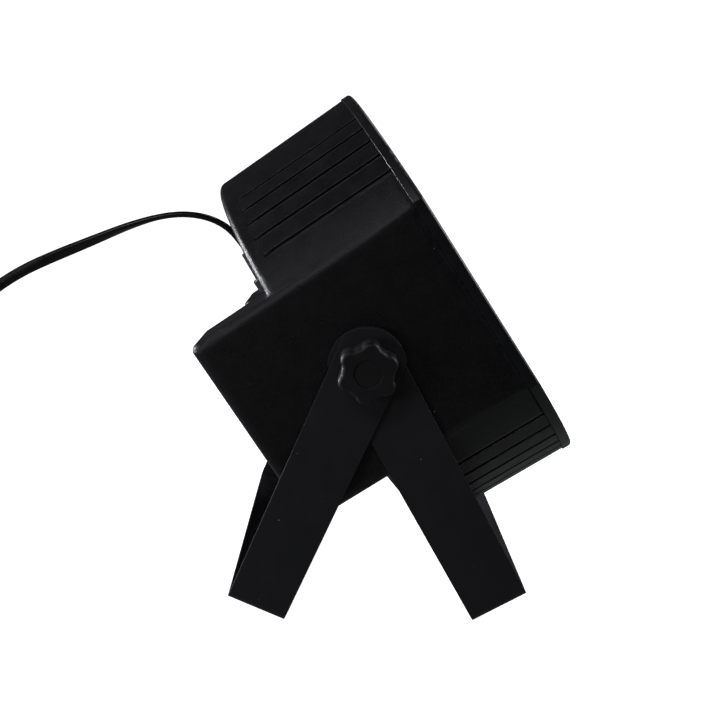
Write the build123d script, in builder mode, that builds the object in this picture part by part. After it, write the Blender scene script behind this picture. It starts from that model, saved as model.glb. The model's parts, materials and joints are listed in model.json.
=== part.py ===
from build123d import *
from math import cos, pi, radians, sin, sqrt, tan
import os

os.makedirs("parts", exist_ok=True)

# ---------------------------------------------------------------- driving dimensions, mm
# Frame: +X is the side that the beam points to, +Y is one knob's side, +Z is up.
TILT = radians(34.2)              # beam above the horizontal
RIM_R = 96.0                      # front bezel, outside
BEZEL_FLAT = 85.4                 # bezel's flat sides, from the middle; the brackets pass them
BEZEL_T = 4.6
APERTURE_R = 80.0                 # bezel's opening
FLAT_Y = 85.0                     # housing's flat sides, from the middle
WALL = 3.0
RING_R_FRONT = 95.4               # ring part of the housing, drafted towards the back
RING_R_BACK = 93.6
BOX_H_FRONT = 44.7                # half height of the side bands and rear box, drafted
BOX_H_BACK = 43.6
JOINT = 49.3                      # bezel's joint, along the beam from the pivot
RING_BACK = -19.0                 # back of the ring
BACK = -56.0                      # back face of the rear box

ARM_W_FOOT = 25.0                 # bracket's width at its foot and at its pivot
ARM_W_PIVOT = 27.3
ARM_END_R = 15.7
STEEL = 2.0                       # bracket's sheet thickness
BEND_R = 0.8                      # inside bend radius
OUTER_LEAN = radians(23.0)        # outer bracket's foot is behind the pivot
INNER_LEAN = radians(-29.7)       # inner bracket's foot is in front of it
OUTER_LEG = 110.9                 # pivot to the underside of the strap
SIDE_GAP = 0.8                    # flat side to the inner bracket
PLAY = 0.3                        # between pieces that turn past each other
CLAMP_HOLE_R = 5.25               # for an M10 hook clamp's bolt

STUD_R = 3.9                      # M8 clamp stud
PIVOT_HOLE_R = 4.0
WASHER_R = 9.5
WASHER_T = 1.0
KNOB_NECK = 3.0
KNOB_LOBES = 11.0
KNOB_LOBE_TURN = 24.0             # first lobe above the X axis, degrees

GROOVES = 5                       # in each quarter of the ring
GROOVE_FIRST = 28.5               # degrees from the ring's top or bottom
GROOVE_STEP = 5.9
GROOVE_W = 1.7
GROOVE_DEPTH = 1.5
GROOVE_BACK = -7.3                # full depth ends here and runs out at GROOVE_OUT
GROOVE_OUT = -13.4

LENS_R = 11.5
LENS_RINGS = ((6, 30.0, 0.0), (12, 62.0, 15.0))    # lenses, pitch radius, first angle
LENS_FACE = 45.9
PANEL_BACK = 43.3                 # black plate that carries the lenses
PANEL_T = 2.0
BOARD_BACK = 20.0                 # LED board on the heat sink
BOARD_T = 1.6
SINK_BACK = 15.0
FIN_BACK = -3.0

LEDGE_Y = -46.0                   # the rear box's top is lower from here to the far side
LEDGE_U = 36.0
PAD_BACK = -38.0                  # raised pad under the cable gland
PAD_HALF = 20.0
PAD_U = 43.2
GLAND_ALONG = -25.3               # cable gland, on the pad
GLAND_R = 5.7
GLAND_TOP = 48.6
RELIEF_TOP = 62.0
CORD_R = 2.6
COIL_R = 28.5                     # middle of the coil's turns
COIL_HALF = 5.4                   # half the width of the turns side by side
COIL_H = 9.4

SOCKET_Y = 53.0                   # signal sockets, each side of the display
SOCKET_U = -8.0
SOCKET_R = 9.6
DISPLAY_U = 16.0
DISPLAY_W = 38.0
DISPLAY_H = 18.0
BUTTON_U = -10.0
BUTTON_PITCH = 13.0
BUTTON_R = 3.4
BUTTON_TRAVEL = 0.8

OUTER_Y = FLAT_Y + SIDE_GAP + STEEL + PLAY + STEEL         # outer bracket's outside
INNER_Y = FLAT_Y + SIDE_GAP + STEEL
PIVOT_Z = OUTER_LEG * cos(OUTER_LEAN) + ARM_W_FOOT / 2 * sin(OUTER_LEAN)
INNER_LEG = (PIVOT_Z + ARM_W_FOOT / 2 * sin(INNER_LEAN)) / cos(INNER_LEAN)
FRONT = JOINT + BEZEL_T
REACH_FRONT = FRONT * cos(TILT) + RIM_R * sin(TILT)        # furthest points along X
REACH_BACK = -BACK * cos(TILT) + BOX_H_BACK * sin(TILT)
PIVOT_X = (REACH_BACK - REACH_FRONT) / 2                   # centres the footprint

BEAM = Axis((PIVOT_X, 0, PIVOT_Z), (cos(TILT), 0, sin(TILT)))


# ---------------------------------------------------------------- planes
def beam_plane(along):
    """Square to the beam, `along` in front of the pivot: x is +Y and y is up the housing."""
    origin = (PIVOT_X + along * cos(TILT), 0, PIVOT_Z + along * sin(TILT))
    return Plane(origin=origin, x_dir=(0, 1, 0), z_dir=(cos(TILT), 0, sin(TILT)))


def radial_plane(turn):
    """Through the beam axis, `turn` degrees from the ring's top: x is the beam and y is outward."""
    t = radians(turn)
    normal = (sin(TILT) * sin(t), -cos(t), -cos(TILT) * sin(t))
    return Plane(origin=(PIVOT_X, 0, PIVOT_Z), x_dir=(cos(TILT), 0, sin(TILT)), z_dir=normal)


def side_plane(side, out):
    """Faces outward on one side, `out` from the middle: x is level and y is up."""
    return Plane(origin=(PIVOT_X, side * out, PIVOT_Z), x_dir=(-side, 0, 0), z_dir=(0, side, 0))


def leg_plane(lean):
    """In the leg's face at the pivot: x is across the leg and y is up it."""
    return Plane(origin=(PIVOT_X, 0, PIVOT_Z), x_dir=(cos(lean), 0, -sin(lean)), z_dir=(0, -1, 0))


def section_plane(lean):
    """Across the bracket: x is +Y and y is up the legs."""
    across = (cos(lean), 0, -sin(lean))
    return Plane(origin=(PIVOT_X, 0, PIVOT_Z), x_dir=(0, 1, 0), z_dir=across)


def box_top(height):
    """Faces up the housing, `height` above the pivot, at the gland: x is +Y and y is -beam."""
    origin = (
        PIVOT_X + GLAND_ALONG * cos(TILT) - height * sin(TILT),
        0,
        PIVOT_Z + GLAND_ALONG * sin(TILT) + height * cos(TILT),
    )
    return Plane(origin=origin, x_dir=(0, 1, 0), z_dir=(-sin(TILT), 0, cos(TILT)))


def save(piece, name):
    piece.part.label = name
    export_step(piece.part, "parts/" + name + ".step")


# ---------------------------------------------------------------- housing
def housing_form(inset):
    """The housing's outside, or its hollow when inset by the wall."""
    with BuildPart() as form:
        with BuildSketch(beam_plane(RING_BACK + inset)):
            Circle(RING_R_BACK - inset)
        with BuildSketch(beam_plane(JOINT)):
            Circle(RING_R_FRONT - inset)
        loft()
        with BuildSketch(beam_plane(BACK)):
            Rectangle(2 * (FLAT_Y - inset), 3 * RIM_R)
        extrude(amount=JOINT - BACK, mode=Mode.INTERSECT)
        if inset == 0:
            rim = form.edges().group_by(BEAM)[0].filter_by(GeomType.CIRCLE)
            fillet(rim, 3.0)
        with BuildSketch(beam_plane(BACK + inset)):
            RectangleRounded(2 * (FLAT_Y - inset), 2 * (BOX_H_BACK - inset), WALL + 0.2 - inset)
        with BuildSketch(beam_plane(JOINT)):
            RectangleRounded(2 * (FLAT_Y - inset), 2 * (BOX_H_FRONT - inset), WALL + 0.2 - inset)
        loft()
        if inset == 0:
            fillet(form.edges().group_by(BEAM)[0], 3.0)
        # lower top between the near side's strip and the far side
        ledge_start = LEDGE_Y - inset
        with BuildSketch(beam_plane(BACK - 1)):
            with Locations((ledge_start, LEDGE_U - inset)):
                Rectangle(2 * RIM_R, 2 * RIM_R, align=(Align.MIN, Align.MIN))
        extrude(amount=RING_BACK + inset - BACK + 1, mode=Mode.SUBTRACT)
    return form.part


def gland_pad():
    length = RING_BACK + 0.5 - PAD_BACK
    with BuildPart() as pad:
        with BuildSketch(box_top(LEDGE_U - 1)):
            with Locations((0, GLAND_ALONG - PAD_BACK - length / 2)):
                Rectangle(2 * PAD_HALF, length)
        extrude(amount=PAD_U - LEDGE_U + 1)
        up = Axis((0, 0, 0), (-sin(TILT), 0, cos(TILT)))
        fillet(pad.edges().filter_by(up).group_by(BEAM)[0], 4.0)
        fillet(pad.edges().group_by(up)[-1], 1.5)
    return pad.part


BEZEL_SCREW_R = 88.5
BEZEL_SCREW_TURNS = (0, 30, -30, 180, 150, -150)
SINK_SCREW_R = 84.0
SINK_SCREW_TURNS = (20, -20, 160, -160)
VENT_COUNT = 9
VENT_PITCH = 7.0
VENT_TOP_U = 29.2
VENT_LOW_U = -33.0
VENT_L = 6.4
VENT_W = 2.4

with BuildPart() as rear_housing:
    add(housing_form(0))
    add(housing_form(WALL), mode=Mode.SUBTRACT)
    add(gland_pad())
    # bosses for the bezel's screws, on the ring's inside
    with BuildSketch(beam_plane(JOINT - 14)):
        for turn in BEZEL_SCREW_TURNS:
            with Locations(Vector(BEZEL_SCREW_R, 0).rotate(Axis.Z, 90 + turn)):
                Circle(4.6)
    extrude(amount=14)
    # pillars for the heat sink
    with BuildSketch(beam_plane(RING_BACK + WALL - 0.5)):
        for turn in SINK_SCREW_TURNS:
            with Locations(Vector(SINK_SCREW_R, 0).rotate(Axis.Z, 90 + turn)):
                Circle(4.5)
    extrude(amount=SINK_BACK - RING_BACK - WALL + 0.5)
    # bosses for the pivot inserts
    for side in (-1, 1):
        with BuildSketch(side_plane(side, FLAT_Y - 17)):
            Circle(11)
        extrude(amount=17 - WALL + 0.5)
        with BuildSketch(side_plane(side, FLAT_Y)):
            Circle(7)
        extrude(amount=-17, mode=Mode.SUBTRACT)
        with BuildSketch(side_plane(side, FLAT_Y)):
            Circle(12.5)
        extrude(amount=-0.5, mode=Mode.SUBTRACT)
    # screw holes
    with BuildSketch(beam_plane(JOINT)):
        for turn in BEZEL_SCREW_TURNS:
            with Locations(Vector(BEZEL_SCREW_R, 0).rotate(Axis.Z, 90 + turn)):
                Circle(1.5)
    extrude(amount=-12, mode=Mode.SUBTRACT)
    with BuildSketch(beam_plane(SINK_BACK)):
        for turn in SINK_SCREW_TURNS:
            with Locations(Vector(SINK_SCREW_R, 0).rotate(Axis.Z, 90 + turn)):
                Circle(1.5)
    extrude(amount=-12, mode=Mode.SUBTRACT)
    # grooves along the ring wall, which run out before its back edge
    for half in (0, 180):
        for side in (-1, 1):
            for i in range(GROOVES):
                turn = half + side * (GROOVE_FIRST + i * GROOVE_STEP)
                with BuildSketch(radial_plane(turn)):
                    with BuildLine():
                        Polyline(
                            (JOINT + 1, RING_R_FRONT - GROOVE_DEPTH),
                            (GROOVE_BACK, RING_R_BACK + 0.3 - GROOVE_DEPTH),
                            (GROOVE_OUT, RING_R_BACK + 0.6),
                            (GROOVE_OUT, RIM_R + 2),
                            (JOINT + 1, RIM_R + 2),
                            close=True,
                        )
                    make_face()
                extrude(amount=GROOVE_W / 2, both=True, mode=Mode.SUBTRACT)
    # back wall: display, buttons, sockets and vents
    with BuildSketch(beam_plane(BACK)):
        with Locations((0, DISPLAY_U)):
            Rectangle(DISPLAY_W - 4, DISPLAY_H - 4)
        with GridLocations(BUTTON_PITCH, 1, 4, 1):
            with Locations((0, BUTTON_U)):
                Circle(BUTTON_R + PLAY)
        with Locations((-SOCKET_Y, SOCKET_U), (SOCKET_Y, SOCKET_U)):
            Circle(12.0)
        with Locations((0, VENT_TOP_U), (0, VENT_LOW_U)):
            with GridLocations(VENT_PITCH, 1, VENT_COUNT, 1):
                SlotOverall(VENT_L, VENT_W, rotation=90)
    extrude(amount=WALL, mode=Mode.SUBTRACT)
    with BuildSketch(beam_plane(BACK)):
        with Locations((0, DISPLAY_U)):
            RectangleRounded(DISPLAY_W, DISPLAY_H, 1.5)
    extrude(amount=1.5, mode=Mode.SUBTRACT)
    # microphone port
    with BuildSketch(beam_plane(BACK)):
        with Locations((29, DISPLAY_U)):
            Circle(1.2)
    extrude(amount=WALL, mode=Mode.SUBTRACT)
    # gland's hole
    with BuildSketch(box_top(PAD_U)):
        Circle(4.2)
    extrude(amount=-(PAD_U - LEDGE_U + WALL + 1), mode=Mode.SUBTRACT)
save(rear_housing, "rear_housing")

# ---------------------------------------------------------------- front
with BuildPart() as front_bezel:
    with BuildSketch(beam_plane(JOINT)):
        Circle(RIM_R)
        Rectangle(2 * BEZEL_FLAT, 2 * RIM_R, mode=Mode.INTERSECT)
        Circle(APERTURE_R, mode=Mode.SUBTRACT)
    extrude(amount=BEZEL_T)
    front_edges = front_bezel.edges().group_by(BEAM)[-1]
    fillet(front_edges, 1.6)
    with BuildSketch(beam_plane(PANEL_BACK + PANEL_T)):
        Circle(APERTURE_R + 2.0)
        Circle(APERTURE_R, mode=Mode.SUBTRACT)
    extrude(amount=JOINT - PANEL_BACK - PANEL_T)
    with BuildSketch(beam_plane(JOINT)):
        for turn in BEZEL_SCREW_TURNS:
            with Locations(Vector(BEZEL_SCREW_R, 0).rotate(Axis.Z, 90 + turn)):
                Circle(1.7)
    extrude(amount=BEZEL_T, mode=Mode.SUBTRACT)
    with BuildSketch(beam_plane(FRONT)):
        for turn in BEZEL_SCREW_TURNS:
            with Locations(Vector(BEZEL_SCREW_R, 0).rotate(Axis.Z, 90 + turn)):
                Circle(3.1)
    extrude(amount=-1.8, mode=Mode.SUBTRACT)
save(front_bezel, "front_bezel")


def lens_spots():
    return [
        Vector(pitch, 0).rotate(Axis.Z, first + i * 360 / count)
        for count, pitch, first in LENS_RINGS
        for i in range(count)
    ]


POST_SPOTS = [Vector(47, 0).rotate(Axis.Z, turn) for turn in (45, 135, 225, 315)]

with BuildPart() as lens_panel:
    with BuildSketch(beam_plane(PANEL_BACK)):
        Circle(APERTURE_R + 2.0)
        with Locations(*lens_spots()):
            Circle(LENS_R + 0.2, mode=Mode.SUBTRACT)
        with Locations(*POST_SPOTS):
            Circle(1.7, mode=Mode.SUBTRACT)
    extrude(amount=PANEL_T)
save(lens_panel, "lens_panel")

LENS_BACK = BOARD_BACK + BOARD_T + 2.2
with BuildPart() as led_lenses:
    with BuildSketch(beam_plane(LENS_BACK)):
        with Locations(*lens_spots()):
            Circle(4.2)
    extrude(amount=LENS_FACE - 3 - LENS_BACK, taper=-16.5)
    with BuildSketch(beam_plane(LENS_FACE - 3)):
        with Locations(*lens_spots()):
            Circle(LENS_R)
    extrude(amount=3)
    chamfer(led_lenses.edges().group_by(BEAM)[-1], 0.5)
save(led_lenses, "led_lenses")

with BuildPart() as led_board:
    with BuildSketch(beam_plane(BOARD_BACK)):
        Circle(77)
        with Locations(*POST_SPOTS):
            Circle(2.2, mode=Mode.SUBTRACT)
    extrude(amount=BOARD_T)
save(led_board, "led_board")

with BuildPart() as led_emitters:
    with BuildSketch(beam_plane(BOARD_BACK + BOARD_T)):
        with Locations(*lens_spots()):
            Circle(3.6)
    extrude(amount=1.0)
    with BuildSketch(beam_plane(BOARD_BACK + BOARD_T + 1.0)):
        with Locations(*lens_spots()):
            Circle(2.4)
    extrude(amount=0.9)
    fillet(led_emitters.edges().group_by(BEAM)[-1], 0.7)
save(led_emitters, "led_emitters")

with BuildPart() as heat_sink:
    with BuildSketch(beam_plane(SINK_BACK)):
        Circle(88)
        Rectangle(2 * 78, 2 * 88, mode=Mode.INTERSECT)
        with Locations((0, 88), (0, -88)):
            Rectangle(32, 12, mode=Mode.SUBTRACT)
        for turn in SINK_SCREW_TURNS:
            with Locations(Vector(SINK_SCREW_R, 0).rotate(Axis.Z, 90 + turn)):
                Circle(1.7, mode=Mode.SUBTRACT)
        with Locations(*POST_SPOTS):
            Circle(1.4, mode=Mode.SUBTRACT)
    extrude(amount=BOARD_BACK - SINK_BACK)
    with BuildSketch(beam_plane(SINK_BACK)):
        with GridLocations(12, 1, 11, 1):
            Rectangle(1.6, 150)
        Circle(76, mode=Mode.INTERSECT)
    extrude(amount=FIN_BACK - SINK_BACK)
save(heat_sink, "heat_sink")

with BuildPart() as panel_posts:
    with BuildSketch(beam_plane(BOARD_BACK)):
        with Locations(*POST_SPOTS):
            Circle(2.2)
    extrude(amount=PANEL_BACK - BOARD_BACK)
save(panel_posts, "panel_posts")


def pan_screws(spots_r, turns, seat, thread):
    """Pan-head screws with a cross recess, heads in front of `seat`."""
    spots = [Vector(spots_r, 0).rotate(Axis.Z, 90 + turn) for turn in turns]
    with BuildPart() as screws:
        with BuildSketch(beam_plane(seat)):
            with Locations(*spots):
                Circle(2.9)
        extrude(amount=1.8)
        fillet(screws.edges().group_by(BEAM)[-1], 0.8)
        with BuildSketch(beam_plane(seat)):
            with Locations(*spots):
                Circle(1.4)
        extrude(amount=-thread)
        with BuildSketch(beam_plane(seat + 0.7)):
            with Locations(*spots):
                Rectangle(3.0, 0.7)
                Rectangle(0.7, 3.0)
        extrude(amount=2, mode=Mode.SUBTRACT)
    return screws


bezel_screws = pan_screws(BEZEL_SCREW_R, BEZEL_SCREW_TURNS, FRONT - 1.8, 10)
save(bezel_screws, "bezel_screws")
sink_screws = pan_screws(SINK_SCREW_R, SINK_SCREW_TURNS, BOARD_BACK, 14)
save(sink_screws, "sink_screws")

# ---------------------------------------------------------------- electronics in the rear box
CONTROL_FRONT = -42.0
SUPPLY_BACK = -24.6
SUPPLY_T = 1.6
SUPPLY_W = 130.0
SUPPLY_H = 56.0
SUPPLY_HOLES = (SUPPLY_W - 10, SUPPLY_H - 10)

with BuildPart() as control_board:
    with BuildSketch(beam_plane(CONTROL_FRONT - 1.6)):
        with Locations((0, 2)):
            Rectangle(72, 56)
    extrude(amount=1.6)
save(control_board, "control_board")

with BuildPart() as display_module:
    with BuildSketch(beam_plane(CONTROL_FRONT - 1.6)):
        with Locations((0, DISPLAY_U)):
            Rectangle(DISPLAY_W - 5, DISPLAY_H - 5)
    extrude(amount=BACK + 2.2 - CONTROL_FRONT + 1.6)
save(display_module, "display_module")

with BuildPart() as display_window:
    with BuildSketch(beam_plane(BACK)):
        with Locations((0, DISPLAY_U)):
            RectangleRounded(DISPLAY_W - 0.2, DISPLAY_H - 0.2, 1.4)
    extrude(amount=1.5)
save(display_window, "display_window")

BUTTON_SPOTS = [(BUTTON_PITCH * (i - 1.5), BUTTON_U) for i in range(4)]
SWITCH_TOP = BACK + WALL + 2.4 + BUTTON_TRAVEL
with BuildPart() as button_switches:
    with BuildSketch(beam_plane(CONTROL_FRONT - 1.6)):
        with Locations(*BUTTON_SPOTS):
            Rectangle(6, 6)
    extrude(amount=-4.3)
    with BuildSketch(beam_plane(CONTROL_FRONT - 1.6 - 4.3)):
        with Locations(*BUTTON_SPOTS):
            Circle(1.7)
    extrude(amount=SWITCH_TOP - CONTROL_FRONT + 1.6 + 4.3)
save(button_switches, "button_switches")

BUTTON_NAMES = ("menu_button", "down_button", "up_button", "enter_button")
for name, spot in zip(BUTTON_NAMES, BUTTON_SPOTS):
    with BuildPart() as button:
        with BuildSketch(beam_plane(BACK - 1.6)):
            with Locations(spot):
                Circle(BUTTON_R)
        extrude(amount=1.6 + WALL + 0.9)
        fillet(button.edges().group_by(BEAM)[0], 0.6)
        with BuildSketch(beam_plane(BACK + WALL + 0.2)):
            with Locations(spot):
                Circle(BUTTON_R + 1.2)
        extrude(amount=1.2)
        with BuildSketch(beam_plane(BACK + WALL + 0.9)):
            with Locations(spot):
                Circle(1.5)
        extrude(amount=1.5 - 0.1)
    save(button, name)

with BuildPart() as microphone:
    with BuildSketch(beam_plane(BACK + WALL)):
        with Locations((29, DISPLAY_U)):
            Circle(3.0)
    extrude(amount=2.7)
save(microphone, "microphone")

with BuildPart() as power_supply_board:
    with BuildSketch(beam_plane(SUPPLY_BACK)):
        Rectangle(SUPPLY_W, SUPPLY_H)
        with GridLocations(*SUPPLY_HOLES, 2, 2):
            Circle(1.7, mode=Mode.SUBTRACT)
    extrude(amount=SUPPLY_T)
save(power_supply_board, "power_supply_board")

with BuildPart() as transformer:
    with BuildSketch(beam_plane(SUPPLY_BACK + SUPPLY_T)):
        with Locations((-14, 0)):
            Rectangle(26, 22)
    extrude(amount=14)
    chamfer(transformer.edges().group_by(BEAM)[-1], 1.0)
save(transformer, "transformer")

with BuildPart() as capacitors:
    with BuildSketch(beam_plane(SUPPLY_BACK + SUPPLY_T)):
        with Locations((22, 12), (22, -12), (40, 12), (40, -12)):
            Circle(5.0)
    extrude(amount=15)
    fillet(capacitors.edges().group_by(BEAM)[-1], 0.6)
save(capacitors, "capacitors")

with BuildPart() as supply_posts:
    with BuildSketch(beam_plane(BACK + WALL)):
        with GridLocations(*SUPPLY_HOLES, 2, 2):
            Circle(3.0)
    extrude(amount=SUPPLY_BACK - BACK - WALL)
    with BuildSketch(beam_plane(SUPPLY_BACK)):
        with GridLocations(*SUPPLY_HOLES, 2, 2):
            Circle(1.5)
    extrude(amount=SUPPLY_T)
    with BuildSketch(beam_plane(SUPPLY_BACK + SUPPLY_T)):
        with GridLocations(*SUPPLY_HOLES, 2, 2):
            Circle(2.8)
    extrude(amount=1.8)
save(supply_posts, "supply_posts")

# ---------------------------------------------------------------- signal sockets
SOCKET_SCREWS = ((-9.5, 12.0), (9.5, -12.0))
SOCKET_DEPTH = 17.0


def socket_shell(middle, bore_r):
    """Flanged three-pole chassis socket: flange, barrel and floor."""
    with BuildPart() as shell:
        with BuildSketch(beam_plane(BACK)):
            with Locations(middle):
                RectangleRounded(26, 31, 2.5)
        extrude(amount=-2.0)
        chamfer(shell.edges().group_by(BEAM)[0], 0.5)
        with BuildSketch(beam_plane(BACK)):
            with Locations(middle):
                Circle(11.8)
        extrude(amount=SOCKET_DEPTH)
        with BuildSketch(beam_plane(BACK - 2.0)):
            with Locations(middle):
                Circle(bore_r)
        extrude(amount=SOCKET_DEPTH, mode=Mode.SUBTRACT)
        with BuildSketch(beam_plane(BACK - 2.0)):
            for x, y in SOCKET_SCREWS:
                with Locations((middle[0] + x, middle[1] + y)):
                    Circle(1.6)
        extrude(amount=2.0, mode=Mode.SUBTRACT)
    return shell


IN_SPOT = (-SOCKET_Y, SOCKET_U)
OUT_SPOT = (SOCKET_Y, SOCKET_U)
PIN_TURNS = (90, 210, 330)

dmx_in_socket = socket_shell(IN_SPOT, SOCKET_R)
save(dmx_in_socket, "dmx_in_socket")

with BuildPart() as dmx_in_pins:
    with BuildSketch(beam_plane(BACK - 2.0 + SOCKET_DEPTH)):
        for turn in PIN_TURNS:
            spoke = Vector(4.6, 0).rotate(Axis.Z, turn)
            with Locations((IN_SPOT[0] + spoke.X, IN_SPOT[1] + spoke.Y)):
                Circle(1.2)
    extrude(amount=-9.0)
    fillet(dmx_in_pins.edges().group_by(BEAM)[0], 0.9)
save(dmx_in_pins, "dmx_in_pins")

with BuildPart() as dmx_out_socket:
    add(socket_shell(OUT_SPOT, SOCKET_R).part)
    # slot in the flange and barrel for the release tab
    with BuildSketch(beam_plane(BACK - 2.0)):
        with Locations((OUT_SPOT[0], OUT_SPOT[1] + 10.6)):
            Rectangle(8.6, 6.6)
    extrude(amount=4.0, mode=Mode.SUBTRACT)
save(dmx_out_socket, "dmx_out_socket")

with BuildPart() as dmx_out_insert:
    with BuildSketch(beam_plane(BACK - 1.0)):
        with Locations(OUT_SPOT):
            Circle(7.0)
        for turn in PIN_TURNS:
            spoke = Vector(4.2, 0).rotate(Axis.Z, turn)
            with Locations((OUT_SPOT[0] + spoke.X, OUT_SPOT[1] + spoke.Y)):
                Circle(1.5, mode=Mode.SUBTRACT)
    extrude(amount=SOCKET_DEPTH - 1.0)
save(dmx_out_insert, "dmx_out_insert")

LATCH_TRAVEL = 1.2
with BuildPart() as release_tab:
    with BuildSketch(beam_plane(BACK - 3.4)):
        with Locations((OUT_SPOT[0], OUT_SPOT[1] + 10.6)):
            RectangleRounded(8.0, 6.0, 0.8)
    extrude(amount=3.4 - LATCH_TRAVEL - 0.1)
    fillet(release_tab.edges().group_by(BEAM)[0], 0.5)
save(release_tab, "release_tab")

with BuildPart() as socket_screws:
    for middle in (IN_SPOT, OUT_SPOT):
        for x, y in SOCKET_SCREWS:
            spot = (middle[0] + x, middle[1] + y)
            with BuildSketch(beam_plane(BACK - 2.0)):
                with Locations(spot):
                    Circle(2.6)
            extrude(amount=-1.4)
            with BuildSketch(beam_plane(BACK - 2.0)):
                with Locations(spot):
                    Circle(1.5)
            extrude(amount=2.0)
            with BuildSketch(beam_plane(BACK - 3.4)):
                with Locations(spot):
                    Rectangle(2.8, 0.6)
                    Rectangle(0.6, 2.8)
            extrude(amount=0.8, mode=Mode.SUBTRACT)
save(socket_screws, "socket_screws")


# ---------------------------------------------------------------- brackets
def bracket(lean, leg, outside):
    """Sheet-steel U: straight tapered legs with rounded ends, and a strap with the clamp hole."""
    rise = 30.0
    with BuildPart() as frame:
        with BuildSketch(section_plane(lean)):
            with Locations((0, (rise - leg) / 2)):
                RectangleRounded(2 * outside, rise + leg, BEND_R + STEEL)
            inner_height = leg - STEEL + 2 * rise
            with Locations((0, STEEL - leg + inner_height / 2)):
                RectangleRounded(2 * (outside - STEEL), inner_height, BEND_R, mode=Mode.SUBTRACT)
        extrude(amount=ARM_W_PIVOT, both=True)
        half_foot = ARM_W_FOOT / 2
        half_pivot = ARM_W_PIVOT / 2
        shoulder = sqrt(ARM_END_R**2 - half_pivot**2)
        with BuildSketch(leg_plane(lean)):
            with BuildLine():
                Polyline(
                    (-half_pivot, shoulder),
                    (-half_foot, -leg),
                    (half_foot, -leg),
                    (half_pivot, shoulder),
                )
                ThreePointArc((half_pivot, shoulder), (0, ARM_END_R), (-half_pivot, shoulder))
            make_face()
        extrude(amount=outside, both=True, mode=Mode.INTERSECT)
        with BuildSketch(leg_plane(lean)):
            Circle(PIVOT_HOLE_R)
        extrude(amount=outside, both=True, mode=Mode.SUBTRACT)
        foot = Plane(
            origin=(PIVOT_X - leg * sin(lean), 0, PIVOT_Z - leg * cos(lean)),
            x_dir=(0, 1, 0),
            z_dir=(sin(lean), 0, cos(lean)),
        )
        with BuildSketch(foot):
            Circle(CLAMP_HOLE_R)
        extrude(amount=STEEL, mode=Mode.SUBTRACT)
    return frame


outer_bracket = bracket(OUTER_LEAN, OUTER_LEG, OUTER_Y)
save(outer_bracket, "outer_bracket")
inner_bracket = bracket(INNER_LEAN, INNER_LEG, INNER_Y)
save(inner_bracket, "inner_bracket")

# ---------------------------------------------------------------- pivots and knobs
INSERT_DEPTH = 16.5
with BuildPart() as pivot_inserts:
    for side in (-1, 1):
        with BuildSketch(side_plane(side, FLAT_Y - 0.5 - INSERT_DEPTH)):
            Circle(7)
            Circle(PIVOT_HOLE_R, mode=Mode.SUBTRACT)
        extrude(amount=INSERT_DEPTH)
save(pivot_inserts, "pivot_inserts")

with BuildPart() as friction_pads:
    for side in (-1, 1):
        with BuildSketch(side_plane(side, FLAT_Y - 0.5)):
            Circle(12.4)
            Circle(PIVOT_HOLE_R + 0.4, mode=Mode.SUBTRACT)
        extrude(amount=0.5 + SIDE_GAP - PLAY)
save(friction_pads, "friction_pads")

NECK_OUT = OUTER_Y + PLAY + WASHER_T
KNOB_OUT = NECK_OUT + KNOB_NECK + KNOB_LOBES
STUD_GRIP = 8.0
for side, name in ((-1, "near"), (1, "far")):
    with BuildPart() as washer:
        with BuildSketch(side_plane(side, OUTER_Y + PLAY)):
            Circle(WASHER_R)
            Circle(STUD_R, mode=Mode.SUBTRACT)
        extrude(amount=WASHER_T)
        chamfer(washer.edges().filter_by(GeomType.CIRCLE).sort_by(SortBy.RADIUS)[-2:], 0.2)
    save(washer, name + "_washer")

    with BuildPart() as knob:
        with BuildSketch(side_plane(side, NECK_OUT)):
            Circle(8.5)
        extrude(amount=KNOB_NECK)
        with BuildSketch(side_plane(side, NECK_OUT + KNOB_NECK)) as star:
            Circle(10.3)
            with PolarLocations(8.4, 6, start_angle=KNOB_LOBE_TURN):
                Circle(3.8)
            fillet(star.vertices(), 2.4)
        extrude(amount=KNOB_LOBES)
        rims = knob.edges().group_by(Axis.Y)
        fillet(rims[0] if side < 0 else rims[-1], 1.6)
        # shallow dish in the face
        with BuildSketch(side_plane(side, KNOB_OUT)):
            Circle(5.6)
        extrude(amount=-0.8, mode=Mode.SUBTRACT)
        with BuildSketch(side_plane(side, NECK_OUT)):
            Circle(STUD_R)
        extrude(amount=STUD_GRIP, mode=Mode.SUBTRACT)
    save(knob, name + "_knob")

    with BuildPart() as stud:
        with BuildSketch(side_plane(side, NECK_OUT + STUD_GRIP)):
            Circle(STUD_R)
        extrude(amount=-(NECK_OUT + STUD_GRIP - FLAT_Y + 14))
        chamfer(stud.edges().sort_by(Axis.Y)[-1 if side < 0 else 0], 0.8)
    save(stud, name + "_stud")


# ---------------------------------------------------------------- cable gland and cord
GLAND_SEAT = PAD_U + 0.15
NUT_SEAT = LEDGE_U - WALL - 0.2
with BuildPart() as cable_gland:
    with BuildSketch(box_top(GLAND_SEAT)):
        Circle(GLAND_R)
    extrude(amount=GLAND_TOP - GLAND_SEAT)
    chamfer(cable_gland.edges().filter_by(GeomType.CIRCLE).sort_by(Axis.Z)[-1], 0.6)
    with BuildSketch(box_top(GLAND_TOP)):
        Circle(3.9)
    with BuildSketch(box_top(RELIEF_TOP)):
        Circle(3.1)
    loft()
    with BuildSketch(box_top(GLAND_SEAT)):
        Circle(4.0)
    extrude(amount=-(GLAND_SEAT - NUT_SEAT + 3.0))
save(cable_gland, "cable_gland")

with BuildPart() as gland_nut:
    with BuildSketch(box_top(NUT_SEAT)):
        RegularPolygon(6.0, 6)
        Circle(4.0, mode=Mode.SUBTRACT)
    extrude(amount=-2.4)
save(gland_nut, "gland_nut")

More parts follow.
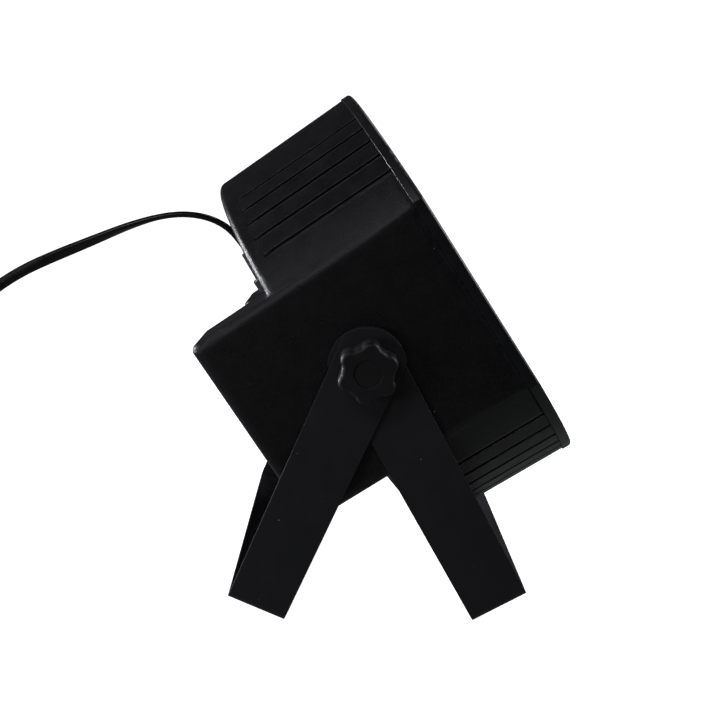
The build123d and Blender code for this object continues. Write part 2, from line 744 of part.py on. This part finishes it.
# Route of the cord from the strain relief to the coil, from the pivot: X, Y, Z.
CORD_EXIT = box_top(RELIEF_TOP).origin - Vector(PIVOT_X, 0, PIVOT_Z)
CORD_RISE = box_top(RELIEF_TOP + 9.8).origin - Vector(PIVOT_X, 0, PIVOT_Z)
FLOOR = CORD_R - PIVOT_Z
CORD_ROUTE = [
    (CORD_EXIT.X, 0, CORD_EXIT.Z),
    (CORD_RISE.X, 0, CORD_RISE.Z),
    (-70.2, -0.6, 51.4),
    (-82.5, -1.4, 54.0),
    (-96.0, -2.4, 52.6),
    (-111.0, -3.6, 47.6),
    (-127.0, -5.0, 40.6),
    (-143.0, -6.4, 33.8),
    (-158.5, -7.8, 26.6),
    (-173.0, -9.0, 17.0),
    (-185.5, -10.0, 3.8),
    (-194.5, -11.0, -12.5),
    (-200.0, -12.0, -31.0),
    (-203.0, -13.0, -50.5),
    (-204.0, -15.0, -69.5),
    (-203.2, -19.5, -86.5),
    (-200.6, -28.5, -99.5),
    (-197.4, -41.5, FLOOR + 0.2),
    (-194.6, -53.0, FLOOR),
]
COIL_MIDDLE = (-225.5, -71.0)
COIL_LIFT = 0.6                   # the tie passes under the turns
COIL_OUT = COIL_R + COIL_HALF


def placed(points):
    return [Vector(x + PIVOT_X, y, z + PIVOT_Z) for x, y, z in points]


def corner_radii(points):
    """Each arc as large as its two runs allow."""
    radii = []
    for before, corner, after in zip(points, points[1:], points[2:]):
        turn = radians((corner - before).get_angle(after - corner))
        shorter = min((corner - before).length, (after - corner).length)
        radii.append(0.45 * shorter / tan(turn / 2))
    return radii


def tube(points, name):
    """Straight runs joined by tangent arcs, swept with the cord's section."""
    radii = corner_radii(points)
    with BuildPart() as cord:
        with BuildLine() as path:
            FilletPolyline(*points, radius=radii)
        with BuildSketch(Plane(origin=path.line @ 0, z_dir=path.line % 0)):
            Circle(CORD_R)
        sweep()
    length = path.wire().length
    section = pi * CORD_R**2
    print(name, "length", round(length, 1), "smallest radius", round(min(radii), 1))
    print(name, "radii", [round(r, 1) for r in radii])
    print(name, "volume over section x length", round(cord.part.volume / (section * length), 4))
    return cord


power_cord = tube(placed(CORD_ROUTE), "power_cord")
save(power_cord, "power_cord")

with BuildPart() as power_cord_coil:
    coil_x = COIL_MIDDLE[0] + PIVOT_X
    with BuildSketch(Plane(origin=(coil_x, COIL_MIDDLE[1], COIL_LIFT), z_dir=(0, 0, 1))):
        Circle(COIL_OUT)
        Circle(COIL_R - COIL_HALF, mode=Mode.SUBTRACT)
    extrude(amount=COIL_H)
    fillet(power_cord_coil.edges().filter_by(GeomType.CIRCLE), 2.0)
save(power_cord_coil, "power_cord_coil")

TIE_T = 0.5
TIE_W = 4.0
TIE_PLAY = 0.1
with BuildPart() as cord_tie:
    tie_out = (cos(radians(120)), sin(radians(120)), 0)
    tie_along = (-tie_out[1], tie_out[0], 0)
    tie_middle = (
        coil_x + COIL_R * tie_out[0],
        COIL_MIDDLE[1] + COIL_R * tie_out[1],
        COIL_LIFT + COIL_H / 2,
    )
    tie_width = 2 * (COIL_HALF + TIE_PLAY + 0.15)
    tie_height = COIL_H + 2 * TIE_PLAY
    with BuildSketch(Plane(origin=tie_middle, x_dir=tie_out, z_dir=tie_along)):
        RectangleRounded(tie_width + 2 * TIE_T, tie_height + 2 * TIE_T, 2.0)
        RectangleRounded(tie_width, tie_height, 1.5, mode=Mode.SUBTRACT)
    extrude(amount=TIE_W / 2, both=True)
save(cord_tie, "cord_tie")

# The cord's end leaves the coil on its far side from the lamp and meets the plug.
PLUG_W = 24.0
PLUG_H = 13.0
PLUG_L = 27.0
RELIEF_L = 15.0
TAIL_ROUTE = [
    (-254.0, -53.6, FLOOR + 2.8),
    (-253.4, -44.5, FLOOR + 1.0),
    (-254.6, -35.0, FLOOR + 1.6),
    (-255.4, -26.0, PLUG_H / 2 - PIVOT_Z),
    (-255.4, -17.0, PLUG_H / 2 - PIVOT_Z),
]
power_cord_tail = tube(placed(TAIL_ROUTE), "power_cord_tail")
save(power_cord_tail, "power_cord_tail")

PLUG_X = TAIL_ROUTE[-1][0] + PIVOT_X
PLUG_Y = TAIL_ROUTE[-1][1]


def plug_plane(along):
    """Square to the plug, `along` from its strain relief's tip: x is -X and y is up."""
    return Plane(origin=(PLUG_X, PLUG_Y + along, PLUG_H / 2), x_dir=(-1, 0, 0), z_dir=(0, 1, 0))


with BuildPart() as power_plug:
    with BuildSketch(plug_plane(0.0)):
        Circle(3.4)
    with BuildSketch(plug_plane(RELIEF_L)):
        RectangleRounded(13, 9, 4.0)
    loft()
    with BuildSketch(plug_plane(RELIEF_L)):
        RectangleRounded(PLUG_W - 4, PLUG_H - 2, 4.0)
    with BuildSketch(plug_plane(RELIEF_L + PLUG_L)):
        RectangleRounded(PLUG_W, PLUG_H, 4.5)
    loft()
    fillet(power_plug.edges().group_by(Axis.Y)[-1], 1.0)
save(power_plug, "power_plug")

BLADE_GAP = 12.7
with BuildPart() as plug_blades:
    with BuildSketch(plug_plane(RELIEF_L + PLUG_L)):
        with GridLocations(BLADE_GAP, 1, 2, 1):
            Rectangle(1.5, 6.3)
    extrude(amount=17.5)
    chamfer(plug_blades.edges().group_by(Axis.Y)[-1], 0.4)
save(plug_blades, "plug_blades")
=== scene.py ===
import json
from math import cos, pi, radians, sin

import bpy
from mathutils import Matrix, Vector


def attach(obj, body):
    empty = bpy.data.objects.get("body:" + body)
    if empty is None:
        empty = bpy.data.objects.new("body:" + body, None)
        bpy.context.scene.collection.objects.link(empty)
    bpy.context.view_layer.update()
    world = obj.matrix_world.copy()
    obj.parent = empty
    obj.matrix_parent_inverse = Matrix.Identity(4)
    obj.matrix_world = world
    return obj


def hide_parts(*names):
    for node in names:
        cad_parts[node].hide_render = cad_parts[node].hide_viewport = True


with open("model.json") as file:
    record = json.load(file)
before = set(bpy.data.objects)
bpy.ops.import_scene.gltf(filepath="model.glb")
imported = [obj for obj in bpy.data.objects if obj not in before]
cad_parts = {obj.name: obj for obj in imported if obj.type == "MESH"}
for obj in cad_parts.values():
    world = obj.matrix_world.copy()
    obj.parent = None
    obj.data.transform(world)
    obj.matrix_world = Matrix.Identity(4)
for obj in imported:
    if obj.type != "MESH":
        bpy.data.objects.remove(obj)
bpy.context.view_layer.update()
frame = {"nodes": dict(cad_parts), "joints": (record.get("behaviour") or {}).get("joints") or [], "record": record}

JOINTS = {joint["name"]: joint for joint in frame["joints"]}
PIVOT = Vector(JOINTS["outer_bracket_tilt"]["pos_m"])
BEAM = Vector(JOINTS["menu_button_press"]["axis"]).normalized()
SIDE = Vector((0, 1, 0))
UP = BEAM.cross(SIDE)
WORLD_UP = Vector((0, 0, 1))


def housing_point(along, side, up):
    """A point given along the beam, to the far side and up the housing from the pivot."""
    return PIVOT + along * BEAM + side * SIDE + up * UP


# ------------------------------------------------------------------ camera
SENSOR = 36.0
LENS = 52.6
CAMERA_FROM_PIVOT = Vector((-0.00975, -0.49516, 0.07681))
CAMERA_YAW = radians(0.93)        # to the right
CAMERA_PITCH = radians(10.34)     # downward
CAMERA_ROLL = radians(-1.40)


def make_camera():
    data = bpy.data.cameras.new("camera")
    data.sensor_width = SENSOR
    data.lens = LENS
    data.clip_start = 0.01
    camera = bpy.data.objects.new("camera", data)
    bpy.context.scene.collection.objects.link(camera)
    forward = Vector(
        (
            sin(CAMERA_YAW) * cos(CAMERA_PITCH),
            cos(CAMERA_YAW) * cos(CAMERA_PITCH),
            -sin(CAMERA_PITCH),
        )
    )
    level = Vector((cos(CAMERA_YAW), -sin(CAMERA_YAW), 0))
    down = forward.cross(level)
    right = level * cos(CAMERA_ROLL) + down * sin(CAMERA_ROLL)
    low = down * cos(CAMERA_ROLL) - level * sin(CAMERA_ROLL)
    turn = Matrix((right, -low, -forward)).transposed()
    camera.matrix_world = Matrix.Translation(PIVOT + CAMERA_FROM_PIVOT) @ turn.to_4x4()
    bpy.context.scene.camera = camera


make_camera()


# ------------------------------------------------------------------ small mesh tools
def link(name, mesh, smooth=True):
    piece = bpy.data.objects.new(name, mesh)
    bpy.context.scene.collection.objects.link(piece)
    if smooth:
        for face in mesh.polygons:
            face.use_smooth = True
    return piece


def smoothstep(value, start, end):
    t = min(max((value - start) / (end - start), 0.0), 1.0)
    return t * t * (3 - 2 * t)


def nurbs_path(name, points, steps=8):
    """Points along a smooth curve that has these control points."""
    data = bpy.data.curves.new(name, "CURVE")
    data.dimensions = "3D"
    data.resolution_u = steps
    spline = data.splines.new("NURBS")
    spline.points.add(len(points) - 1)
    for control, point in zip(spline.points, points):
        control.co = (*point, 1.0)
    spline.order_u = 3
    spline.use_endpoint_u = True
    holder = bpy.data.objects.new(name, data)
    bpy.context.scene.collection.objects.link(holder)
    bpy.context.view_layer.update()
    line = bpy.data.meshes.new_from_object(holder)
    path = [vertex.co.copy() for vertex in line.vertices]
    bpy.data.objects.remove(holder)
    bpy.data.meshes.remove(line)
    return path


def sweep(name, path, wide_axis, outline):
    """Sweeps an outline of (across, thick) points; wide_axis(point, tangent) gives its wide way."""
    vertices = []
    for i, point in enumerate(path):
        ahead = path[min(i + 1, len(path) - 1)]
        behind = path[max(i - 1, 0)]
        tangent = (ahead - behind).normalized()
        wide = wide_axis(point, tangent)
        wide = (wide - wide.dot(tangent) * tangent).normalized()
        thin = tangent.cross(wide)
        vertices += [point + a * wide + b * thin for a, b in outline]
    count = len(outline)
    faces = []
    for i in range(len(path) - 1):
        for j in range(count):
            k = (j + 1) % count
            faces.append((i * count + j, i * count + k, (i + 1) * count + k, (i + 1) * count + j))
    faces.append(tuple(reversed(range(count))))
    last = (len(path) - 1) * count
    faces.append(tuple(range(last, last + count)))
    mesh = bpy.data.meshes.new(name)
    mesh.from_pydata([tuple(v) for v in vertices], [], faces)
    mesh.validate()
    return link(name, mesh)


def flat_oval(width, thick, count=20):
    """A flat lead's section: straight on its broad faces and round at its edges."""
    radius = thick / 2
    reach = width / 2 - radius
    points = []
    for i in range(count):
        turn = 2 * pi * i / count
        shift = reach if cos(turn) > 1e-6 else -reach if cos(turn) < -1e-6 else 0
        points.append((shift + radius * cos(turn), radius * sin(turn)))
    return points


# ------------------------------------------------------------------ cord
CORD_W = 0.0052
CORD_T = 0.0028
GLAND_ALONG = -0.0253
RELIEF_TOP = 0.062
RISE = 0.0098
FLOOR = 0.0026 - PIVOT.z
# Route from the strain relief to the coil, from the pivot.
CORD_ROUTE = [
    (-0.0702, -0.0006, 0.0514),
    (-0.0825, -0.0014, 0.0540),
    (-0.0960, -0.0024, 0.0526),
    (-0.1110, -0.0036, 0.0476),
    (-0.1270, -0.0050, 0.0406),
    (-0.1430, -0.0064, 0.0338),
    (-0.1585, -0.0078, 0.0266),
    (-0.1730, -0.0090, 0.0170),
    (-0.1855, -0.0100, 0.0038),
    (-0.1945, -0.0110, -0.0125),
    (-0.2000, -0.0120, -0.0310),
    (-0.2030, -0.0130, -0.0505),
    (-0.2040, -0.0150, -0.0695),
    (-0.2032, -0.0195, -0.0865),
    (-0.2006, -0.0285, -0.0995),
    (-0.1974, -0.0415, FLOOR + 0.0002),
    (-0.1946, -0.0530, FLOOR),
]
TAIL_ROUTE = [
    (-0.2540, -0.0536, 0.0076 - PIVOT.z),
    (-0.2536, -0.0445, 0.0058 - PIVOT.z),
    (-0.2546, -0.0350, 0.0052 - PIVOT.z),
    (-0.2554, -0.0260, 0.0065 - PIVOT.z),
    (-0.2554, -0.0170, 0.0065 - PIVOT.z),
]
COIL_MIDDLE = Vector((-0.2255, -0.0710, 0)) + Vector((PIVOT.x, 0, 0))
COIL_TURNS = ((0.0310, 0.0016), (0.0257, 0.0016), (0.0310, 0.0047), (0.0257, 0.0047), (0.0284, 0.0077))
COIL_COUNT = 4.5
COIL_STEPS = 16                   # points in each turn


def coil_points():
    """Turns beside and on each other. Each climbs first, then moves out or in, at its end."""
    points = []
    for i in range(1, int(COIL_COUNT * COIL_STEPS) + 1):
        turn, part = divmod(i / COIL_STEPS, 1.0)
        here = COIL_TURNS[int(turn)]
        after = COIL_TURNS[min(int(turn) + 1, len(COIL_TURNS) - 1)]
        lift = smoothstep(part, 0.60, 0.80)
        shift = smoothstep(part, 0.72, 0.95)
        radius = here[0] + (after[0] - here[0]) * shift
        height = here[1] + (after[1] - here[1]) * lift
        angle = -2 * pi * i / COIL_STEPS
        points.append(COIL_MIDDLE + Vector((radius * cos(angle), radius * sin(angle), height)))
    return points


def cord_wide_axis(point, tangent):
    """Edge-on where it leaves the lamp, then turned broad side out, then flat on the floor."""
    away = PIVOT.x - point.x
    turn = smoothstep(away, 0.090, 0.160) * pi / 2
    landing = smoothstep(PIVOT.z - point.z, 0.0, 0.085)
    level = SIDE - SIDE.dot(tangent) * tangent
    broad = tangent.cross(SIDE) * (1 - landing) + WORLD_UP.cross(tangent) * landing
    if landing > 0.99:
        return broad
    return level * cos(turn) + broad * sin(turn)


def make_cord():
    exit_point = housing_point(GLAND_ALONG, 0, RELIEF_TOP)
    rise_point = housing_point(GLAND_ALONG, 0, RELIEF_TOP + RISE)
    route = [exit_point, rise_point] + [PIVOT + Vector(p) for p in CORD_ROUTE]
    tail = [PIVOT + Vector(p) for p in TAIL_ROUTE]
    path = nurbs_path("power_cord_line", route + coil_points() + tail)
    cord = sweep("mains_cord", path, cord_wide_axis, flat_oval(CORD_W, CORD_T))
    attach(cord, "housing")
    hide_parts("power_cord", "power_cord_coil", "power_cord_tail")
    return cord


mains_cord = make_cord()


# ------------------------------------------------------------------ material tools
class Shader:
    """A Principled material with helpers that add procedural detail."""

    def __init__(self, name):
        self.material = bpy.data.materials.new(name)
        self.material.use_nodes = True
        self.tree = self.material.node_tree
        self.base = self.tree.nodes["Principled BSDF"]
        self.place = self.add("ShaderNodeTexCoord").outputs["Object"]

    def add(self, kind, **inputs):
        node = self.tree.nodes.new(kind)
        for name, value in inputs.items():
            self.feed(node.inputs[name.replace("_", " ")], value)
        return node

    def feed(self, socket, value):
        if isinstance(value, bpy.types.NodeSocket):
            self.tree.links.new(value, socket)
        else:
            socket.default_value = value

    def fix(self, **values):
        """Values that are the same all over, set on the shader's own sockets."""
        for name, value in values.items():
            self.base.inputs[name.replace("_", " ")].default_value = value
        return self

    def noise(self, scale, detail=3.0, roughness=0.55):
        node = self.add(
            "ShaderNodeTexNoise", Vector=self.place, Scale=scale, Detail=detail, Roughness=roughness
        )
        return node.outputs["Fac"]

    def ramp(self, value, low, high, to_low=0.0, to_high=1.0):
        node = self.add("ShaderNodeMapRange")
        node.clamp = True
        for i, v in enumerate((value, low, high, to_low, to_high)):
            self.feed(node.inputs[i], v)
        return node.outputs["Result"]

    def mix(self, factor, first, second):
        node = self.tree.nodes.new("ShaderNodeMix")
        node.data_type = "RGBA"
        self.feed(node.inputs[0], factor)
        self.feed(node.inputs[6], first)
        self.feed(node.inputs[7], second)
        return node.outputs[2]

    def math(self, kind, first, second=0.0):
        node = self.tree.nodes.new("ShaderNodeMath")
        node.operation = kind
        self.feed(node.inputs[0], first)
        self.feed(node.inputs[1], second)
        return node.outputs[0]


COOL = (0.96, 0.96, 1.10)         # the faint blue of black plastic and paint


SOFT_FADE = 0.004                 # from the small bevel radius to the broad one


def grey(value, tint=(1.0, 1.0, 1.0)):
    return (value * tint[0], value * tint[1], value * tint[2], 1.0)


def edge_mask(shader, rounded, width=0.06):
    """1 on edges, 0 on open faces, from how far the rounded normal leans from the true one."""
    true = shader.add("ShaderNodeNewGeometry").outputs["True Normal"]
    node = shader.tree.nodes.new("ShaderNodeVectorMath")
    node.operation = "DOT_PRODUCT"
    shader.feed(node.inputs[0], rounded)
    shader.feed(node.inputs[1], true)
    return shader.ramp(node.outputs["Value"], 1.0 - width, 1.0, 1.0, 0.0)


def dust_mask(shader, amount):
    """Small scattered specks, thinned out by a slow noise."""
    cells = shader.add("ShaderNodeTexVoronoi", Vector=shader.place, Scale=150.0)
    near = shader.ramp(cells.outputs["Distance"], 0.030, 0.055, 1.0, 0.0)
    chance = shader.ramp(shader.noise(60.0, 2.0), 0.62 - 0.12 * amount, 0.66, 0.0, 1.0)
    return shader.math("MULTIPLY", near, chance)


def painted(
    name,
    colours,
    rough,
    grain=(1700.0, 0.00005),
    specular=0.35,
    edge=None,
    dust=0.0,
    speckle=0.0,
    bevel=0.0004,
    soft_sides=None,
    sway=(240.0, 0.0),
    **fixed,
):
    """Moulded or coated surface: colour and gloss drift, fine grain, eased edges, dust, and lighter edges that are
    partly wear and partly a painted highlight.

    soft_sides is (how far out it starts, bevel radius there), for broader edges on the two sides.
    """
    shader = Shader(name)
    rounded = shader.add("ShaderNodeBevel", Radius=bevel)
    rounded.samples = 4
    if soft_sides is not None:
        start, radius = soft_sides
        across = shader.add("ShaderNodeSeparateXYZ", Vector=shader.place).outputs["Y"]
        out = shader.math("ABSOLUTE", across)
        shader.feed(
            rounded.inputs["Radius"], shader.ramp(out, start, start + SOFT_FADE, bevel, radius)
        )
        rounded.samples = 8
    colour = shader.mix(shader.ramp(shader.noise(38.0, 5.0), 0.35, 0.65), *colours)
    if speckle > 0:
        pores = shader.ramp(shader.noise(grain[0], 2.0), 0.40, 0.64)
        colour = shader.mix(pores, colour, grey(speckle, COOL))
    rough_map = shader.ramp(shader.noise(150.0, 4.0), 0.3, 0.7, *rough)
    # Lighter colour along the edges: partly rubbed wear, partly a painted highlight where the edges catch the
    # light.
    if edge is not None:
        wear_and_highlight = shader.math(
            "MULTIPLY",
            edge_mask(shader, rounded.outputs["Normal"]),
            shader.ramp(shader.noise(420.0, 3.0), 0.20, 0.60),
        )
        colour = shader.mix(wear_and_highlight, colour, edge)
    if dust > 0:
        specks = dust_mask(shader, dust)
        colour = shader.mix(specks, colour, grey(0.25))
    height = shader.noise(grain[0], 2.0)
    bump = shader.add("ShaderNodeBump", Height=height, Normal=rounded.outputs["Normal"])
    bump.inputs["Strength"].default_value = 0.6
    bump.inputs["Distance"].default_value = grain[1]
    if sway[1] > 0:
        wave = shader.add(
            "ShaderNodeBump", Height=shader.noise(sway[0], 2.0), Normal=bump.outputs["Normal"]
        )
        wave.inputs["Strength"].default_value = 0.5
        wave.inputs["Distance"].default_value = sway[1]
        bump = wave
    shader.feed(shader.base.inputs["Base Color"], colour)
    shader.feed(shader.base.inputs["Roughness"], rough_map)
    shader.feed(shader.base.inputs["Normal"], bump.outputs["Normal"])
    shader.fix(**{"Specular_IOR_Level": specular, **fixed})
    return shader.material


def metal(name, colours, rough, grain=(900.0, 0.00002), stretch=(1.0, 1.0, 14.0), bevel=0.0002):
    """Bare or plated metal with fine directional scratches and clouding."""
    shader = Shader(name)
    rounded = shader.add("ShaderNodeBevel", Radius=bevel)
    rounded.samples = 4
    mapping = shader.add("ShaderNodeMapping", Vector=shader.place, Scale=stretch)
    lines = shader.add("ShaderNodeTexNoise", Vector=mapping.outputs[0], Scale=grain[0], Detail=3.0)
    colour = shader.mix(shader.ramp(shader.noise(70.0, 4.0), 0.35, 0.65), *colours)
    rough_map = shader.ramp(lines.outputs["Fac"], 0.3, 0.7, *rough)
    bump = shader.add(
        "ShaderNodeBump", Height=lines.outputs["Fac"], Normal=rounded.outputs["Normal"]
    )
    bump.inputs["Strength"].default_value = 0.4
    bump.inputs["Distance"].default_value = grain[1]
    shader.feed(shader.base.inputs["Base Color"], colour)
    shader.feed(shader.base.inputs["Roughness"], rough_map)
    shader.feed(shader.base.inputs["Normal"], bump.outputs["Normal"])
    shader.fix(Metallic=1.0)
    return shader.material


def clear(name, tint, rough, facets, depth):
    """Clear moulded plastic whose face carries small domed facets."""
    shader = Shader(name)
    cells = shader.add("ShaderNodeTexVoronoi", Vector=shader.place, Scale=facets)
    bump = shader.add("ShaderNodeBump", Height=cells.outputs["Distance"])
    bump.inputs["Strength"].default_value = 0.8
    bump.inputs["Distance"].default_value = depth
    bump.invert = True
    rough_map = shader.ramp(shader.noise(300.0, 3.0), 0.3, 0.7, *rough)
    shader.feed(shader.base.inputs["Roughness"], rough_map)
    shader.feed(shader.base.inputs["Normal"], bump.outputs["Normal"])
    shader.fix(Base_Color=tint, Transmission_Weight=1.0, IOR=1.49)
    return shader.material


def make_materials():
    # edge gives each material its lighter edge colour: partly wear, partly a painted highlight on the edges.
    return {
        "housing_plastic": painted(
            "housing_plastic", (grey(0.0025, COOL), grey(0.0040, COOL)), (0.27, 0.38),
            grain=(2100.0, 0.00028), specular=0.30, edge=grey(0.03, COOL), dust=0.7,
            speckle=0.011, bevel=0.0008, soft_sides=(0.0745, 0.0042),
        ),
        "bezel_plastic": painted(
            "bezel_plastic", (grey(0.006, COOL), grey(0.009, COOL)), (0.30, 0.40),
            grain=(2200.0, 0.00003), specular=0.40, edge=grey(0.03, COOL), dust=0.4, bevel=0.0005,
        ),
        "panel_plastic": painted(
            "panel_plastic", (grey(0.005), grey(0.008)), (0.5, 0.62), grain=(2000.0, 0.00005),
            specular=0.3, dust=0.6,
        ),
        "knob_plastic": painted(
            "knob_plastic", (grey(0.006, COOL), grey(0.009, COOL)), (0.42, 0.55),
            grain=(1900.0, 0.00005), specular=0.32, edge=grey(0.03), dust=0.4,
        ),
        "button_plastic": painted(
            "button_plastic", (grey(0.02), grey(0.028)), (0.4, 0.5), edge=grey(0.07), dust=0.3,
        ),
        "bracket_steel": painted(
            "bracket_steel", (grey(0.0125, COOL), grey(0.0165, COOL)), (0.40, 0.50),
            grain=(1300.0, 0.00006), specular=0.38, edge=grey(0.05), dust=0.8, bevel=0.0005,
            sway=(420.0, 0.00004),
        ),
        "plain_steel": metal("plain_steel", (grey(0.5), grey(0.6)), (0.25, 0.42)),
        "screw_steel": painted(
            "screw_steel", (grey(0.014), grey(0.02)), (0.3, 0.42), specular=0.6, edge=grey(0.12),
        ),
        "insert_brass": metal(
            "insert_brass", ((0.55, 0.38, 0.14, 1), (0.66, 0.48, 0.2, 1)), (0.25, 0.4)
        ),
        "contact_metal": metal(
            "contact_metal", ((0.66, 0.55, 0.3, 1), (0.75, 0.63, 0.36, 1)), (0.16, 0.28)
        ),
        "blade_brass": metal(
            "blade_brass", ((0.68, 0.58, 0.38, 1), (0.76, 0.67, 0.46, 1)), (0.2, 0.34)
        ),
        "pad_rubber": painted("pad_rubber", (grey(0.012), grey(0.018)), (0.7, 0.85), specular=0.2),
        "lens_acrylic": clear("lens_acrylic", (0.96, 0.97, 0.98, 1), (0.02, 0.06), 620.0, 0.0003),
        "window_acrylic": painted(
            "window_acrylic", ((0.012, 0.004, 0.004, 1), (0.016, 0.005, 0.005, 1)), (0.06, 0.12),
            grain=(500.0, 0.000004), specular=0.5, dust=0.5, Coat_Weight=0.4, Coat_Roughness=0.05,
        ),
        "sink_aluminium": metal("sink_aluminium", (grey(0.55), grey(0.64)), (0.3, 0.46)),
        "board": painted(
            "board", ((0.008, 0.07, 0.03, 1), (0.012, 0.10, 0.04, 1)), (0.3, 0.42),
            grain=(700.0, 0.00004), specular=0.5,
        ),
        "led_board_white": painted(
            "led_board_white", (grey(0.68), grey(0.76)), (0.35, 0.5), specular=0.5
        ),
        "led_package": painted(
            "led_package", ((0.75, 0.62, 0.2, 1), (0.85, 0.72, 0.3, 1)), (0.2, 0.3), specular=0.5
        ),
        "component_black": painted(
            "component_black", (grey(0.02), grey(0.03)), (0.35, 0.5), specular=0.45
        ),
        "capacitor_sleeve": painted(
            "capacitor_sleeve", ((0.01, 0.012, 0.04, 1), (0.014, 0.018, 0.055, 1)), (0.25, 0.35)
        ),
        "transformer_wrap": painted(
            "transformer_wrap", ((0.6, 0.45, 0.05, 1), (0.7, 0.55, 0.08, 1)), (0.3, 0.45)
        ),
        "display_plastic": painted(
            "display_plastic", ((0.05, 0.01, 0.01, 1), (0.07, 0.014, 0.014, 1)), (0.3, 0.4)
        ),
        "socket_plastic": painted(
            "socket_plastic", (grey(0.009), grey(0.013)), (0.3, 0.42), specular=0.45,
            edge=grey(0.05), dust=0.3,
        ),
        "gland_nylon": painted(
            "gland_nylon", (grey(0.007), grey(0.011)), (0.42, 0.55), specular=0.35, edge=grey(0.03)
        ),
        "cord_pvc": painted(
            "cord_pvc", (grey(0.003), grey(0.005)), (0.24, 0.33), grain=(900.0, 0.00003),
            specular=0.4, dust=0.3, bevel=0.0002, sway=(160.0, 0.00008),
        ),
        "plug_pvc": painted(
            "plug_pvc", (grey(0.008), grey(0.012)), (0.28, 0.4), grain=(1200.0, 0.00003),
            specular=0.5, edge=grey(0.03), dust=0.3,
        ),
        "tie_plastic": painted("tie_plastic", (grey(0.012), grey(0.02)), (0.35, 0.5)),
    }


def dress():
    materials = make_materials()
    slots = {part["node"]: part["material_slot"] for part in frame["record"]["subparts"]}
    for name, node in frame["nodes"].items():
        node.data.materials.clear()
        node.data.materials.append(materials[slots[name]])
    mains_cord.data.materials.append(materials["cord_pvc"])


dress()


# ------------------------------------------------------------------ floor, backdrop and lights
COVE_GLOW = 0.95                  # lit from behind, so that it stays white round the object


def make_stage():
    """A round pale floor that curves up into a wall, like a photographer's cove."""
    flat, bend, top, sides = 1.7, 0.6, 2.4, 72
    profile = [(flat * 0.5, 0.0), (flat, 0.0)]
    profile += [
        (flat + bend * sin(t), bend - bend * cos(t)) for t in [pi / 2 * i / 12 for i in range(1, 13)]
    ]
    profile.append((flat + bend, top))
    vertices = []
    for radius, height in profile:
        vertices += [
            (radius * cos(2 * pi * i / sides), radius * sin(2 * pi * i / sides), height)
            for i in range(sides)
        ]
    faces = [tuple(range(sides))]
    for ring in range(len(profile) - 1):
        for i in range(sides):
            k = (i + 1) % sides
            low, high = ring * sides, (ring + 1) * sides
            faces.append((low + i, high + i, high + k, low + k))
    mesh = bpy.data.meshes.new("studio_cove")
    mesh.from_pydata(vertices, [], faces)
    cove = link("studio_cove", mesh)
    shader = Shader("cove_paint")
    colour = shader.mix(shader.noise(2.0, 3.0), grey(0.88), grey(0.93))
    shader.feed(shader.base.inputs["Base Color"], colour)
    shader.fix(Roughness=0.9, Specular_IOR_Level=0.1)
    shader.fix(Emission_Color=(1, 1, 1, 1), Emission_Strength=COVE_GLOW)
    mesh.materials.append(shader.material)
    cove.visible_glossy = False
    cove.visible_diffuse = False
    cove.visible_transmission = False


LAMP_COLOUR = (0.98, 0.98, 1.03)


def softbox(name, place, target, size, power):
    data = bpy.data.lights.new(name, "AREA")
    data.shape = "RECTANGLE"
    data.size, data.size_y = size
    data.energy = power
    data.color = LAMP_COLOUR
    lamp = bpy.data.objects.new(name, data)
    bpy.context.scene.collection.objects.link(lamp)
    lamp.location = place
    lamp.rotation_euler = (Vector(target) - Vector(place)).to_track_quat("-Z", "Y").to_euler()
    return lamp


FLOOR_GLOW = 0.18                 # light that comes up off the floor
ROOM_GLOW = 0.01                  # light from the room above it


def make_world():
    """Dim room: a little light comes up off the floor, hardly any from above."""
    world = bpy.data.worlds.new("studio")
    world.use_nodes = True
    tree = world.node_tree
    place = tree.nodes.new("ShaderNodeTexCoord")
    split = tree.nodes.new("ShaderNodeSeparateXYZ")
    level = tree.nodes.new("ShaderNodeMapRange")
    level.inputs["From Min"].default_value = -0.7
    level.inputs["From Max"].default_value = 0.1
    level.inputs["To Min"].default_value = FLOOR_GLOW
    level.inputs["To Max"].default_value = ROOM_GLOW
    tree.links.new(place.outputs["Generated"], split.inputs[0])
    tree.links.new(split.outputs["Z"], level.inputs["Value"])
    tree.links.new(level.outputs["Result"], tree.nodes["Background"].inputs["Strength"])
    tree.nodes["Background"].inputs["Color"].default_value = (0.95, 0.98, 1.0, 1)
    bpy.context.scene.world = world


def make_lights():
    middle = (-0.02, 0, 0.12)
    softbox("key", (-1.38, 0.24, 0.24), middle, (0.45, 0.4), 34)
    softbox("front_left", (-0.5, -1.2, 0.95), middle, (0.45, 0.35), 3.1)
    softbox("overhead", (0.4, 0.9, 1.4), middle, (0.6, 0.5), 4)
    softbox("right_front", (1.15, 0.05, 0.85), middle, (0.6, 0.6), 11)
    softbox("front_fill", (-1.05, -1.15, 0.22), middle, (0.5, 0.35), 3.2)


make_world()
make_stage()
make_lights()
bpy.context.scene.view_settings.view_transform = "Standard"
